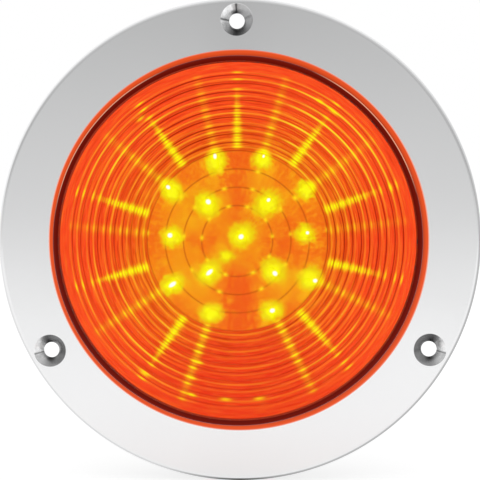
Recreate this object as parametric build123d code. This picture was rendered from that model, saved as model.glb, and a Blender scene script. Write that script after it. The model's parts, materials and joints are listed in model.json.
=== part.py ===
from build123d import *
import os
from math import cos, radians, sin, sqrt

# A round flange-mount LED lamp for a trailer. Millimetres, lamp axis along Y, lens towards -Y,
# +Z up. The origin is the centre of the mounting plane y = 0, where the flange meets the panel.

# --- pressed steel flange ---
flange_band = 15.25
flange_height = 3.0
sheet = 0.8
edge_roll = 1.5
screw_edge_land = 0.2
screw_angles = (90.0, 210.0, 330.0)
screw_hole_radius = 2.25
dimple_radius = 4.65
dimple_land = 0.6

# --- lens ---
lens_wall_radius = 51.9
lens_wall = 1.6
lens_rise = 10.0
lens_face = 2.5
lens_edge_round = 1.0
lip_width = 2.7
lip_thickness = 1.8
lip_round = 0.5
skirt_engagement = 1.0
bullseye_radius = 10.0
coarse_pitch = 5.15
coarse_rings = 3
coarse_depth = 0.7
fine_pitch = 2.36
ring_margin = 1.0
fine_depth = 0.5

# --- seals ---
seal_thickness = 0.8
seal_width = 1.9
gasket_land = 1.4

# --- housing ---
rim_overlap = 2.2
rim_setback = 0.2
body_shelf = 0.4
body_back = 22.0
body_draft = 3.5
body_draft_length = 8.0
body_corner = 2.0
back_wall = 2.5
post_radius = 3.2
post_inset = 8.0
post_angles = (30.0, 150.0, 270.0)

# --- plug socket and its three terminals ---
socket_depth = 13.0
socket_wall = 2.2
socket_gap = 3.6
terminal_spacing = 10.2
terminal_radius = 2.0
terminal_shank_step = 0.3
terminal_free_length = 8.5
terminal_tip_round = 0.8
terminal_tail_radius = 0.9
collar_step = 0.7
collar_thickness = 1.2
terminal_seal_thickness = 2.5
terminal_seal_half_width = 4.6

# --- light board ---
board_thickness = 1.6
component_room = 5.9
board_screw_radius = 1.5
board_screw_length = 4.4
board_screw_head_radius = 2.8
board_screw_head = 1.6

# --- light-emitting diodes ---
led_body = 7.6
led_body_thickness = 2.2
led_stand_off = 1.0
led_dome_radius = 2.5
led_dome_collar = 0.3
led_lead = 0.6
led_inner = (9.3, 10.5)
led_side_column = 20.0
led_side_rise = 13.8
led_end_pair = (8.3, 22.8)

# --- axial parts on the back of the board: body radius, body length, lead pitch ---
resistor = (1.5, 6.6, 10.6)
rectifier = (1.3, 5.0, 9.0)
suppressor = (1.8, 8.0, 12.0)
component_lead_radius = 0.35
component_lift = 0.5
resistor_row_z = 20.0
resistor_pitch = 7.0
resistor_count = 5
power_row_z = -17.0
rectifier_x = 8.0

# --- clearances ---
bore_clearance = 0.5
weld_clearance = 0.2
seal_clearance = 0.1
gasket_edge_clearance = 0.15
gasket_dimple_clearance = 0.6
board_gap = 2.3
terminal_clearance = 0.05
tail_clearance = 0.1
screw_clearance = 0.2
thread_clearance = 0.05

# --- sizes that follow from the values above ---
lip_radius = lens_wall_radius + lip_width
lens_inner_radius = lens_wall_radius - lens_wall
flange_radius = lip_radius + flange_band
flange_front = -flange_height
flange_back = flange_front + sheet
flange_bore = lens_wall_radius + bore_clearance
screw_circle_radius = flange_radius - edge_roll - screw_edge_land - dimple_radius
cone_depth = flange_height - dimple_land
cone_slope = (dimple_radius - screw_hole_radius) / cone_depth
cone_offset = sheet * sqrt(1 + cone_slope * cone_slope)
dimple_back_radius = dimple_radius - cone_slope * sheet + cone_offset
gasket_notch_radius = dimple_back_radius + gasket_dimple_clearance
gasket_inner_radius = screw_circle_radius - gasket_notch_radius - gasket_land
lens_front = flange_front - lens_rise
lens_inside = lens_front + lens_face
lip_back = flange_front - seal_thickness
lip_front = lip_back - lip_thickness
skirt_end = flange_back + skirt_engagement
rim_inner_radius = lens_wall_radius + weld_clearance
rim_radius = flange_bore + rim_overlap
body_radius = rim_inner_radius + body_shelf
body_straight = body_back - body_draft_length
inner_back = body_back - back_wall
socket_mouth = body_back + socket_depth
socket_half_width = terminal_radius + socket_gap
socket_half_length = terminal_spacing + socket_half_width
terminal_shank_radius = terminal_radius + terminal_shank_step
collar_radius = terminal_shank_radius + collar_step
collar_front = inner_back - collar_thickness
board_radius = lens_inner_radius - board_gap
board_back = inner_back - component_room
board_front = board_back - board_thickness
post_circle_radius = board_radius - post_inset
led_body_back = board_front - led_stand_off
led_body_front = led_body_back - led_body_thickness


def turned(points):
    """Revolve a closed outline of (radius, y) points about the lamp axis."""
    return revolve(make_face(Polyline(*points, close=True)), axis=Axis.Y)


def rounded(face, corners):
    """Round each (radius, y, fillet) corner of an outline that lies in the XY plane."""
    for x, y, size in corners:
        corner = face.vertices().sort_by_distance(Vector(x, y, 0))[0]
        face = fillet(corner, size)
    return face


def rod(radius, start, end, x=0.0, z=0.0):
    """A cylinder parallel to the lamp axis from y = start to y = end."""
    base = (Align.CENTER, Align.CENTER, Align.MIN)
    return Pos(x, start, z) * Rot(-90, 0, 0) * Cylinder(radius, end - start, align=base)


def pill(half_length, half_width, start, end):
    """A bar with round ends, long in X, from y = start to y = end."""
    outline = SlotOverall(2 * half_length, 2 * half_width)
    return Pos(0, start, 0) * Rot(-90, 0, 0) * extrude(outline, end - start)


def around(radius, angles):
    """Places (x, z) on a circle about the lamp axis, angles from +X towards +Z."""
    return [(radius * cos(radians(a)), radius * sin(radians(a))) for a in angles]


def dimple_outline(inner_only=False):
    """Half section of one countersunk screw seat, in (radius, y) about its own hole."""
    neck_radius = screw_hole_radius + sheet
    neck_start = flange_front + (dimple_radius + cone_offset - neck_radius) / cone_slope
    cone_end = flange_front + cone_depth
    if inner_only:
        return [(0, flange_front), (dimple_radius, flange_front),
                (screw_hole_radius, cone_end), (screw_hole_radius, 0), (0, 0)]
    return [(0, flange_front), (dimple_radius, flange_front), (dimple_back_radius, flange_back),
            (neck_radius, neck_start), (neck_radius, 0), (0, 0)]


def make_bezel_flange():
    """Pressed ring with a rolled outer edge and three countersunk screw seats."""
    outline = make_face(Polyline(
        (flange_bore, flange_front), (flange_radius, flange_front), (flange_radius, 0),
        (flange_radius - sheet, 0), (flange_radius - sheet, flange_back),
        (flange_bore, flange_back), close=True))
    outline = rounded(outline, [
        (flange_radius, flange_front, edge_roll),
        (flange_radius - sheet, flange_back, edge_roll - sheet)])
    ring = revolve(outline, axis=Axis.Y)
    places = around(screw_circle_radius, screw_angles)
    for x, z in places:
        ring += Pos(x, 0, z) * turned(dimple_outline())
    for x, z in places:
        ring -= Pos(x, 0, z) * turned(dimple_outline(inner_only=True))
    return ring


def ring_profile():
    """Crests and grooves of the optic rings inside the lens face, from the rim to the centre."""
    coarse_end = bullseye_radius + coarse_rings * coarse_pitch
    fine_rings = int((lens_inner_radius - ring_margin - coarse_end) / fine_pitch)
    rings = [(coarse_end + i * fine_pitch, fine_pitch, fine_depth) for i in range(fine_rings)]
    rings = [(bullseye_radius + i * coarse_pitch, coarse_pitch, coarse_depth)
             for i in range(coarse_rings)] + rings
    points = [(rings[-1][0] + rings[-1][1], lens_inside)]
    for start, pitch, depth in reversed(rings):
        points += [(start + pitch / 2, lens_inside + depth), (start, lens_inside)]
    return points + [(0, lens_inside + coarse_depth)]


def make_lens():
    """Amber cup: flat face with optic rings inside, side wall, outer lip and welded skirt."""
    outline = make_face(Polyline(
        (0, lens_front), (lens_wall_radius, lens_front), (lens_wall_radius, lip_front),
        (lip_radius, lip_front), (lip_radius, lip_back), (lens_wall_radius, lip_back),
        (lens_wall_radius, skirt_end), (lens_inner_radius, skirt_end),
        (lens_inner_radius, lens_inside), *ring_profile(), close=True))
    outline = rounded(outline, [
        (lens_wall_radius, lens_front, lens_edge_round),
        (lip_radius, lip_front, lip_round)])
    return revolve(outline, axis=Axis.Y)


def make_lens_seal():
    """Rubber ring squeezed between the lens lip and the flange."""
    inner = lens_wall_radius + seal_clearance
    return rod(inner + seal_width, lip_back, flange_front) - rod(inner, lip_back, flange_front)


def make_flange_gasket():
    """Foam ring behind the flange, notched round the screw seats."""
    outer = flange_radius - edge_roll - gasket_edge_clearance
    ring = rod(outer, flange_back, 0) - rod(gasket_inner_radius, flange_back, 0)
    for x, z in around(screw_circle_radius, screw_angles):
        ring -= rod(gasket_notch_radius, flange_back, 0, x, z)
    return ring


def make_housing():
    """Black cup that carries the board, traps the flange and ends in the plug socket."""
    outline = make_face(Polyline(
        (rim_inner_radius, flange_back), (rim_radius, flange_back), (rim_radius, -rim_setback),
        (body_radius, -rim_setback), (body_radius, body_straight),
        (body_radius - body_draft, body_back), (0, body_back), (0, inner_back),
        (lens_inner_radius - body_draft, inner_back), (lens_inner_radius, body_straight),
        (lens_inner_radius, skirt_end), (rim_inner_radius, skirt_end), close=True))
    outline = rounded(outline, [(body_radius - body_draft, body_back, body_corner)])
    cup = revolve(outline, axis=Axis.Y)
    for x, z in around(post_circle_radius, post_angles):
        cup += rod(post_radius, board_back, inner_back, x, z)
    outer = (socket_half_length + socket_wall, socket_half_width + socket_wall)
    cup += pill(*outer, body_back, socket_mouth)
    cup -= pill(socket_half_length, socket_half_width, body_back, socket_mouth)
    for x, z in around(post_circle_radius, post_angles):
        hole_end = board_back + board_screw_length - board_thickness + thread_clearance
        cup -= rod(board_screw_radius + thread_clearance, board_back, hole_end, x, z)
    for x in terminal_places():
        cup -= rod(terminal_shank_radius + terminal_clearance, inner_back, body_back, x)
    return cup


def terminal_places():
    """The three terminals' X positions: ground, marker, turn."""
    return (-terminal_spacing, 0.0, terminal_spacing)


def make_terminal(x):
    """Brass pin: shank through the housing wall, collar inside it, tail to the board."""
    tip = body_back + terminal_free_length
    outline = make_face(Polyline(
        (0, board_back), (terminal_tail_radius, board_back),
        (terminal_tail_radius, collar_front), (collar_radius, collar_front),
        (collar_radius, inner_back), (terminal_shank_radius, inner_back),
        (terminal_shank_radius, body_back), (terminal_radius, body_back),
        (terminal_radius, tip), (0, tip), close=True))
    outline = rounded(outline, [(terminal_radius, tip, terminal_tip_round)])
    return Pos(x, 0, 0) * revolve(outline, axis=Axis.Y)


def make_terminal_seal():
    """Rubber block pressed over the terminal tails, against their collars."""
    start = collar_front - terminal_seal_thickness
    half_length = terminal_spacing + terminal_seal_half_width
    block = pill(half_length, terminal_seal_half_width, start, collar_front)
    for x in terminal_places():
        block -= rod(terminal_tail_radius + tail_clearance, start, collar_front, x)
    return block


def make_led_board():
    """White round circuit board, held by three screws."""
    board = rod(board_radius, board_front, board_back)
    for x, z in around(post_circle_radius, post_angles):
        board -= rod(board_screw_radius + screw_clearance, board_front, board_back, x, z)
    return board


def make_board_screws():
    """Three pan-head screws through the board into the housing posts."""
    screws = []
    for x, z in around(post_circle_radius, post_angles):
        head_front = board_front - board_screw_head
        screw = rod(board_screw_head_radius, head_front, board_front, x, z)
        screw += rod(board_screw_radius, board_front, board_front + board_screw_length, x, z)
        slot = Pos(x, head_front, z) * Box(2 * board_screw_head_radius, board_screw_head, 0.8)
        screws.append(screw - slot)
    return Compound(children=screws)


def led_places():
    """The fifteen emitters: one in the middle, four about it, ten on the outside."""
    inner_x, inner_z = led_inner
    pair_x, pair_z = led_end_pair
    places = [(0.0, 0.0)]
    places += [(sx * inner_x, sz * inner_z) for sx in (-1, 1) for sz in (-1, 1)]
    places += [(sx * led_side_column, sz * led_side_rise) for sx in (-1, 1) for sz in (-1, 0, 1)]
    places += [(sx * pair_x, sz * pair_z) for sx in (-1, 1) for sz in (-1, 1)]
    return places


def make_led(x, z):
    """Square four-lead emitter with a domed lens towards the front."""
    middle = (led_body_front + led_body_back) / 2
    led = Pos(x, middle, z) * Box(led_body, led_body_thickness, led_body)
    dome_base = led_body_front - led_dome_collar
    led += rod(led_dome_radius, dome_base, led_body_front, x, z)
    led += Pos(x, dome_base, z) * Sphere(led_dome_radius)
    reach = led_body / 2 - led_lead
    for sx in (-1, 1):
        for sz in (-1, 1):
            lead = Box(led_lead, led_stand_off, led_lead)
            led += Pos(x + sx * reach, led_body_back + led_stand_off / 2, z + sz * reach) * lead
    return led


def make_axial(sizes, x, z):
    """A cylinder body on two wire legs that stand on the back of the board, long in Z."""
    body_r, body_length, pitch = sizes
    axis_y = board_back + component_lift + body_r
    piece = Pos(0, axis_y, 0) * Cylinder(body_r, body_length)
    piece += Pos(0, axis_y, 0) * Cylinder(component_lead_radius, pitch)
    for end in (-pitch / 2, pitch / 2):
        piece += rod(component_lead_radius, board_back, axis_y, 0, end)
        piece += Pos(0, axis_y, end) * Sphere(component_lead_radius)
    return Pos(x, 0, z) * piece


parts = {
    "bezel_flange": make_bezel_flange(),
    "lens": make_lens(),
    "lens_seal": make_lens_seal(),
    "flange_gasket": make_flange_gasket(),
    "housing": make_housing(),
    "led_board": make_led_board(),
    "board_screws": make_board_screws(),
    "terminal_seal": make_terminal_seal(),
    "surge_suppressor": make_axial(suppressor, 0, power_row_z),
}
for name, x in zip(("ground", "marker", "turn"), terminal_places()):
    parts["terminal_" + name] = make_terminal(x)
for number, (x, z) in enumerate(led_places(), 1):
    parts[f"led_{number:02d}"] = make_led(x, z)
for number in range(resistor_count):
    x = (number - (resistor_count - 1) / 2) * resistor_pitch
    parts[f"ballast_resistor_{number + 1}"] = make_axial(resistor, x, resistor_row_z)
for number, x in enumerate((-rectifier_x, rectifier_x), 1):
    parts[f"rectifier_diode_{number}"] = make_axial(rectifier, x, power_row_z)

os.makedirs("parts", exist_ok=True)
for name, solid in parts.items():
    export_step(solid, f"parts/{name}.step")
print(f"{len(parts)} sub-parts written")
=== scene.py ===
# %% [markdown]
# # A round amber trailer lamp in a stainless flange
# The lamp is a sealed unit: an amber lens cup, a black housing with a circuit board and fifteen
# emitters, and a pressed steel flange trapped between them. The engineering model gives the sizes.
# This script adds the looks: surfaces worked out from formulas, and finishes built from shader
# nodes. Blender works in metres, and `MM` is a millimetre.

import json
import math

import bmesh
import bpy
import numpy as np
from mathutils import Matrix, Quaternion, Vector
from mathutils.geometry import delaunay_2d_cdt


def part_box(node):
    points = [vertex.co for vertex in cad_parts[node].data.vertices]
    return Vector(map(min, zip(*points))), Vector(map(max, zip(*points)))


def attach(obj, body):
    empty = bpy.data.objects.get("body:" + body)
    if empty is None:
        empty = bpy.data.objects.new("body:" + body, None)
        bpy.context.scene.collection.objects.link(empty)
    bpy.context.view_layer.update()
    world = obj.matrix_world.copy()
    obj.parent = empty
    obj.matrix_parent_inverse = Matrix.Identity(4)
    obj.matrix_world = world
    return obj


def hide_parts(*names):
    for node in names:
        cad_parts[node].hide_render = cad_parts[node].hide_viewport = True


MM = 0.001
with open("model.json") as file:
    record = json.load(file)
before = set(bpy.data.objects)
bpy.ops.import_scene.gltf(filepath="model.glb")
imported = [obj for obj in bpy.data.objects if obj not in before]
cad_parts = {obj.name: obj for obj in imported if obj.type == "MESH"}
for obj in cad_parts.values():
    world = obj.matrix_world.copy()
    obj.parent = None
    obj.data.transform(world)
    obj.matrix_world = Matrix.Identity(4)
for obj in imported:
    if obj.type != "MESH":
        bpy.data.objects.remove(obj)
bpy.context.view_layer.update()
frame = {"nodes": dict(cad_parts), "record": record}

# %% [markdown]
# ## Sizes that everything follows
# The lens and the flange are surfaces of revolution about the Y axis, and the lens faces -Y. Where
# the engineering model tells a size it is read from there, so that the two models can't drift
# apart. The rest is named here once: the sheet, the roundings and the pitch of the optic rings.

# %% Read the main sizes
lens_low, lens_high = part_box("lens")
flange_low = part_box("bezel_flange")[0]
screws = next(m for m in frame["record"]["mounts"] if m["name"] == "flange_screws")

LENS_FRONT = lens_low.y
SKIRT_END = lens_high.y
LIP_RADIUS = lens_high.x
WALL_RADIUS = 51.9 * MM
WALL = 1.6 * MM
FACE = 2.5 * MM
LIP_FRONT = -5.6 * MM
LIP_BACK = -3.8 * MM
FLANGE_FRONT = flange_low.y
FLANGE_RADIUS = 69.85 * MM
FLANGE_BORE = 52.4 * MM
SHEET = 0.8 * MM
EDGE_ROLL = 1.5 * MM
SCREW_CIRCLE = screws["dims"]["pcd_mm"] / 2 * MM
SCREW_HOLE = screws["dims"]["hole_r_mm"] * MM
SCREW_ANGLES = (90, 210, 330)
SEAT_RADIUS = 4.65 * MM
SEAT_LAND = 0.6 * MM
FLAT_END = FLANGE_RADIUS - EDGE_ROLL - 0.02 * MM
BORE_END = FLANGE_BORE + 0.3 * MM
SEAT_END = SEAT_RADIUS + 0.12 * MM
BULLSEYE = 10.0 * MM
COARSE_PITCH = 5.15 * MM
COARSE_RINGS = 3
COARSE_DEPTH = 0.7 * MM
FINE_PITCH = 2.36 * MM
FINE_RINGS = 10
FINE_DEPTH = 0.5 * MM
OPTIC_PLANE = LENS_FRONT + FACE
INNER_RADIUS = WALL_RADIUS - WALL
COARSE_END = BULLSEYE + COARSE_RINGS * COARSE_PITCH
print(f"lens front at {LENS_FRONT / MM:.1f} mm, flange front at {FLANGE_FRONT / MM:.1f} mm")

# %% [markdown]
# ## A surface of revolution
# The lens, the flange's edges and its screw seats are round, as if cut on a lathe. Blender's Screw
# modifier could turn them too, but here each face knows which part of the profile it came from,
# and can take that part's finish. A profile is a list of (radius, y) points, and a row at radius
# zero is a single pole vertex.


# %% Turn a profile into vertices and faces
def turn_profile(profile, steps):
    """Vertices (r cos a, y, r sin a) for a = 2 pi i / steps, and the faces between rows.

    A profile walked with the body on its left has its faces outwards. Returns vertices, faces
    and the profile segment that each face came from.
    """
    profile = np.asarray(profile, float)
    angle = np.arange(steps) * 2 * math.pi / steps
    pole = profile[:, 0] < 1e-9
    count = np.where(pole, 1, steps)
    start = np.concatenate([[0], np.cumsum(count)[:-1]])
    rows = [np.stack([r * np.cos(angle), np.full(steps, y), r * np.sin(angle)], 1)[:c]
            for (r, y), c in zip(profile, count)]
    here = np.arange(steps)
    ahead = (here + 1) % steps
    faces, segment = [], []
    for i in range(len(profile) - 1):
        a, b = start[i:i + 2]
        if pole[i]:
            block = np.stack([np.full(steps, a), b + here, b + ahead], 1)
        elif pole[i + 1]:
            block = np.stack([a + here, np.full(steps, b), a + ahead], 1)
        else:
            block = np.stack([a + here, b + here, b + ahead, a + ahead], 1)
        faces += block.tolist()
        segment += [i] * steps
    return np.concatenate(rows), faces, np.array(segment)


def arc(centre, radius, start, end, steps):
    """Points centre + radius (cos t, sin t) for t from start to end degrees, ends included."""
    t = np.radians(np.linspace(start, end, steps + 1))
    return list(zip(centre[0] + radius * np.cos(t), centre[1] + radius * np.sin(t)))


SHARP = math.radians(30)


def make_piece(name, vertices, faces, materials, slots=None):
    """A mesh object at the origin, shaded smooth across edges that turn less than SHARP."""
    mesh = bpy.data.meshes.new(name)
    mesh.from_pydata(np.asarray(vertices).tolist(), [], faces)
    for material in materials:
        mesh.materials.append(material)
    if slots is not None:
        mesh.polygons.foreach_set("material_index", np.asarray(slots, np.int32))
    mesh.polygons.foreach_set("use_smooth", [True] * len(mesh.polygons))
    mesh.set_sharp_from_angle(angle=SHARP)
    mesh.validate()
    piece = bpy.data.objects.new(name, mesh)
    bpy.context.scene.collection.objects.link(piece)
    print(f"{name}: {len(mesh.vertices)} vertices, {len(mesh.polygons)} faces")
    return piece



# %% [markdown]
# ## Shader maths that reads like maths
# A finish changes from place to place, and a shader graph says how. Wiring it by hand hides the
# formula, so `Value` wraps one output socket and turns +, -, *, / and ** into Math nodes, and
# `Graph` has a short name for each kind of node that is used often.


# %% A small language for shader graphs
def math_method(operation, swapped=False):
    """A method that makes a Math node of self and another number, or of the two swapped."""
    def method(self, other):
        values = {0: other, 1: self} if swapped else {0: self, 1: other}
        return self.graph.add("ShaderNodeMath", {"operation": operation}, values)
    return method


class Value:
    """A number that varies over a surface."""

    def __init__(self, graph, socket):
        self.graph = graph
        self.socket = socket

    __add__ = math_method("ADD")
    __radd__ = math_method("ADD", swapped=True)
    __sub__ = math_method("SUBTRACT")
    __rsub__ = math_method("SUBTRACT", swapped=True)
    __mul__ = math_method("MULTIPLY")
    __rmul__ = math_method("MULTIPLY", swapped=True)
    __truediv__ = math_method("DIVIDE")
    __pow__ = math_method("POWER")


class Graph:
    """The node graph of one material with its Principled shader, or of a world if one is given."""

    def __init__(self, name, world=None):
        self.owner = world or bpy.data.materials.new(name)
        self.owner.use_nodes = True
        self.tree = self.owner.node_tree
        self.shader = self.tree.nodes["Background" if world else "Principled BSDF"]
        self.output = self.tree.nodes["World Output" if world else "Material Output"]

    def add(self, kind, settings=None, values=None, out=0):
        """A node of a kind, its settings first, then its sockets' values or links."""
        node = self.tree.nodes.new(kind)
        for key, value in (settings or {}).items():
            setattr(node, key, value)
        self.feed(node, values or {})
        return Value(self, node.outputs[out])

    def feed(self, node, values):
        """Set each socket of a node to a number or colour, or link it to a Value."""
        for key, value in values.items():
            if isinstance(value, Value):
                self.tree.links.new(value.socket, node.inputs[key])
            else:
                node.inputs[key].default_value = value

    def many(self, kind, names, values=None):
        """Several outputs of a new node, by their names."""
        outputs = self.add(kind, values=values).socket.node.outputs
        return [Value(self, outputs[name]) for name in names]

    def xyz(self, output):
        """x, y and z of a texture coordinate."""
        point = self.add("ShaderNodeTexCoord", out=output)
        return self.many("ShaderNodeSeparateXYZ", "XYZ", {0: point})

    def place(self):
        """The surface point in millimetres: x, y, z."""
        return [value * (1 / MM) for value in self.xyz("Object")]

    def polar(self):
        """x, y and z in millimetres, the distance from the lamp's axis and the angle about it."""
        x, y, z = self.place()
        return x, y, z, (x * x + z * z) ** 0.5, self.angle(x, z)

    def split(self, colour):
        """Red, green and blue of a colour as three numbers."""
        return self.many("ShaderNodeSeparateColor", ("Red", "Green", "Blue"), {0: colour})

    def rays(self):
        """Three numbers: 1 for a ray from the camera, off a glossy surface, through glass."""
        names = ("Is Camera Ray", "Is Glossy Ray", "Is Transmission Ray")
        return self.many("ShaderNodeLightPath", names)

    def one(self, operation, a, b=0.0, c=0.0):
        """A Math node by its operation's name."""
        return self.add("ShaderNodeMath", {"operation": operation}, {0: a, 1: b, 2: c})

    def cap(self, value, most):
        """The smaller of a value and most."""
        return self.one("MINIMUM", value, most)

    def bell(self, distance, width):
        """exp(-(distance / width)^2): 1 at zero, falling off smoothly."""
        return self.one("EXPONENT", distance * distance * (-1 / width ** 2))

    def step(self, value, low, high):
        """0 below low, 1 above high, smooth between."""
        values = {0: value, 1: low, 2: high, 3: 0.0, 4: 1.0}
        return self.add("ShaderNodeMapRange", {"interpolation_type": "SMOOTHSTEP"}, values)

    def blend(self, factor, a, b, kind="MIX"):
        """A colour between a and b, or a colour operation of b on a, by a factor."""
        settings = {"data_type": "RGBA", "blend_type": kind, "clamp_result": False}
        return self.add("ShaderNodeMix", settings, {0: factor, 6: a, 7: b}, out=2)

    def ramp(self, factor, stops):
        """A colour ramp from a list of (position, colour)."""
        node = self.tree.nodes.new("ShaderNodeValToRGB")
        ramp = node.color_ramp
        while len(ramp.elements) < len(stops):
            ramp.elements.new(1.0)
        for element, (position, colour) in zip(ramp.elements, stops):
            element.position = position
            element.color = colour
        self.feed(node, {0: factor})
        return Value(self, node.outputs[0])

    def curve(self, value, span, stops):
        """A level read along straight lines between (place, level) pairs, from 0 to span."""
        return self.ramp(value / span, [(at / span, grey(level)) for at, level in stops])

    def layers(self, colour, coats):
        """Lay coats over a colour one after another, each a (factor, colour) pair."""
        for factor, coat in coats:
            colour = self.blend(factor, colour, coat)
        return colour

    def noise(self, scale, detail=2.0, roughness=0.5, vector=None):
        """Cloudy noise from 0 to 1, scale in features per metre."""
        point = vector or self.add("ShaderNodeTexCoord", out="Object")
        values = {"Vector": point, "Scale": scale, "Detail": detail, "Roughness": roughness}
        return self.add("ShaderNodeTexNoise", values=values)

    def angle(self, x, z):
        """The angle about the lamp's axis in degrees, from 0 at +X to 360."""
        degrees = self.one("ARCTAN2", z, x) * (180 / math.pi)
        return self.one("FLOORED_MODULO", degrees, 360.0)

    def swirl(self, x, z, radius, turns, steps):
        """Noise about the axis: turns sets how fine it is round, steps how fine it is outwards."""
        parts = {0: x / radius * turns, 1: z / radius * turns, 2: radius * steps}
        point = self.add("ShaderNodeCombineXYZ", values=parts)
        return self.noise(1.0, 1.0, 0.5, point)

    def bump(self, height, distance):
        """A normal that follows a height, with the height's full step in metres."""
        values = {"Height": height, "Distance": distance, "Strength": 1.0}
        return self.add("ShaderNodeBump", values=values)

    def finish(self, **sockets):
        """Set the shader's sockets, with _ for a space, and return the material or world."""
        self.feed(self.shader, {k.replace("_", " "): v for k, v in sockets.items()})
        print(f"{self.owner.name}: {len(self.tree.nodes)} nodes")
        return self.owner

    def lit(self, base, roughness, glow, strength=1.0, specular=0.0, alpha=1.0):
        """Finish as a surface that shines in the colour glow over a base colour."""
        return self.finish(Base_Color=base, Roughness=roughness, Specular_IOR_Level=specular,
                           Alpha=alpha, Emission_Color=glow, Emission_Strength=strength)


def total(values):
    """The first value plus the second, plus the third, and so on."""
    return sum(values[1:], values[0])


def grey(level):
    """A grey of the same level in red, green and blue."""
    return (level, level, level, 1.0)


def srgb(red, green, blue):
    """A linear colour from the 0 to 255 numbers that a paint chart gives."""
    def linear(c):
        c /= 255
        return c / 12.92 if c <= 0.04045 else ((c + 0.055) / 1.055) ** 2.4
    return (linear(red), linear(green), linear(blue), 1.0)


print(f"middle grey is {srgb(128, 128, 128)[0]:.3f} in linear light")

# %% [markdown]
# ## The light board and its emitters
# The emitters flood the cavity behind the lens with amber light. Fifteen small lamps could do that,
# but behind a lens they make a grainy picture, so the light is painted as emission: orange, with a
# yellow pool round each emitter. A pool is a bell of the distance to it.

# %% Where the emitters are
LEDS = sorted(n for n in frame["nodes"] if n.startswith("led_") and n != "led_board")
LED_PLACES = [(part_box(n)[0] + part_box(n)[1]) / 2 / MM for n in LEDS]
POOL_SIZE = 4.2
ORANGE = srgb(243, 106, 26)
AMBER = srgb(248, 158, 24)
YELLOW = (0.98, 0.94, 0.002, 1.0)
print("emitters:", len(LEDS))


# %% The light inside
def spot(g, x, z, cx, cz, a, b, turn=0):
    """exp(-(u^2 + v^2)): u is the distance from (cx, cz) along in units of a, v across in b.

    The long axis stands at turn degrees from +X. Millimetres throughout.
    """
    c, s = math.cos(math.radians(turn)), math.sin(math.radians(turn))
    u0 = -(cx * c + cz * s) / a
    v0 = -(cz * c - cx * s) / b
    u = g.one("MULTIPLY_ADD", x, c / a, g.one("MULTIPLY_ADD", z, s / a, u0))
    v = g.one("MULTIPLY_ADD", z, c / b, g.one("MULTIPLY_ADD", x, -s / b, v0))
    return g.one("EXPONENT", g.one("MULTIPLY_ADD", u, u, v * v) * -1.0)


def spots(g, x, z, table):
    """The sum of the spots whose rows stand in a table."""
    return total([spot(g, x, z, *row) for row in table])


def lit_inside(g):
    """Orange light with a yellow pool round each emitter, by the distance in x and z."""
    x, _, z = g.place()
    pools = spots(g, x, z, [(p.x, p.z, POOL_SIZE, POOL_SIZE) for p in LED_PLACES])
    glow = g.blend(g.step(pools, 0.02, 0.5), ORANGE, AMBER)
    return g.blend(g.step(pools, 0.35, 0.9), glow, YELLOW)


# %% The board and the emitters' bodies
def board_finish():
    """The light inside, a little dimmed, over a dark base that adds almost no light."""
    g = Graph("lit_board")
    return g.lit(srgb(70, 34, 10), 0.5, lit_inside(g), strength=0.9, specular=0.5)


def led_finish():
    """Clear epoxy: the light inside, turning bright yellow between y = 7.6 mm and 6.1 mm."""
    g = Graph("lit_emitters")
    y = g.place()[1]
    tip = g.step(y, 7.6, 6.1)
    glow = g.blend(tip, lit_inside(g), (1.0, 0.96, 0.03, 1.0))
    return g.lit(srgb(80, 60, 10), 0.12, glow, specular=0.5)


def dress(finish, *nodes):
    """Give engineering nodes a finish."""
    for node in nodes:
        mesh = frame["nodes"][node].data
        mesh.materials.clear()
        mesh.materials.append(finish)
    print(finish.name, "on", len(nodes), "sub-parts")


dress(board_finish(), "led_board")
dress(led_finish(), *LEDS)


# %% [markdown]
# ## The lens
# One closed cup of moulded acrylic, smooth outside, with the optic rings inside its face. A flat
# disc with a bump map would look alike from straight in front, but not from the side, so the rings
# are real ridges of the turned profile. The front is clear and glossy, and the rings behind it
# carry the glow. The wall's end has painted dark red shade, because one looks down the wall's
# length.

# %% The lens profile
FACE_SLOT, END_SLOT, WALL_SLOT, RING_SLOT, CENTRE_SLOT = range(5)


def ridge_points():
    """Points (r, y, slot) along the rings from the wall to the pole.

    Across a ring, with s from 1 to 0, the ridge is depth * sin(pi s)^0.7 high. The central dome
    is depth * cos(pi s / 2) high.
    """
    share = np.linspace(1, 0, 9)
    rings = [(BULLSEYE + i * COARSE_PITCH, COARSE_PITCH, COARSE_DEPTH, CENTRE_SLOT)
             for i in range(COARSE_RINGS)]
    rings += [(COARSE_END + i * FINE_PITCH, FINE_PITCH, FINE_DEPTH, RING_SLOT)
              for i in range(FINE_RINGS)]
    points = [(start + pitch * s, OPTIC_PLANE + depth * math.sin(math.pi * s) ** 0.7, slot)
              for start, pitch, depth, slot in reversed(rings) for s in share[:-1]]
    return points + [(BULLSEYE * s, OPTIC_PLANE + COARSE_DEPTH * math.cos(math.pi / 2 * s),
                      CENTRE_SLOT) for s in share]


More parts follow.
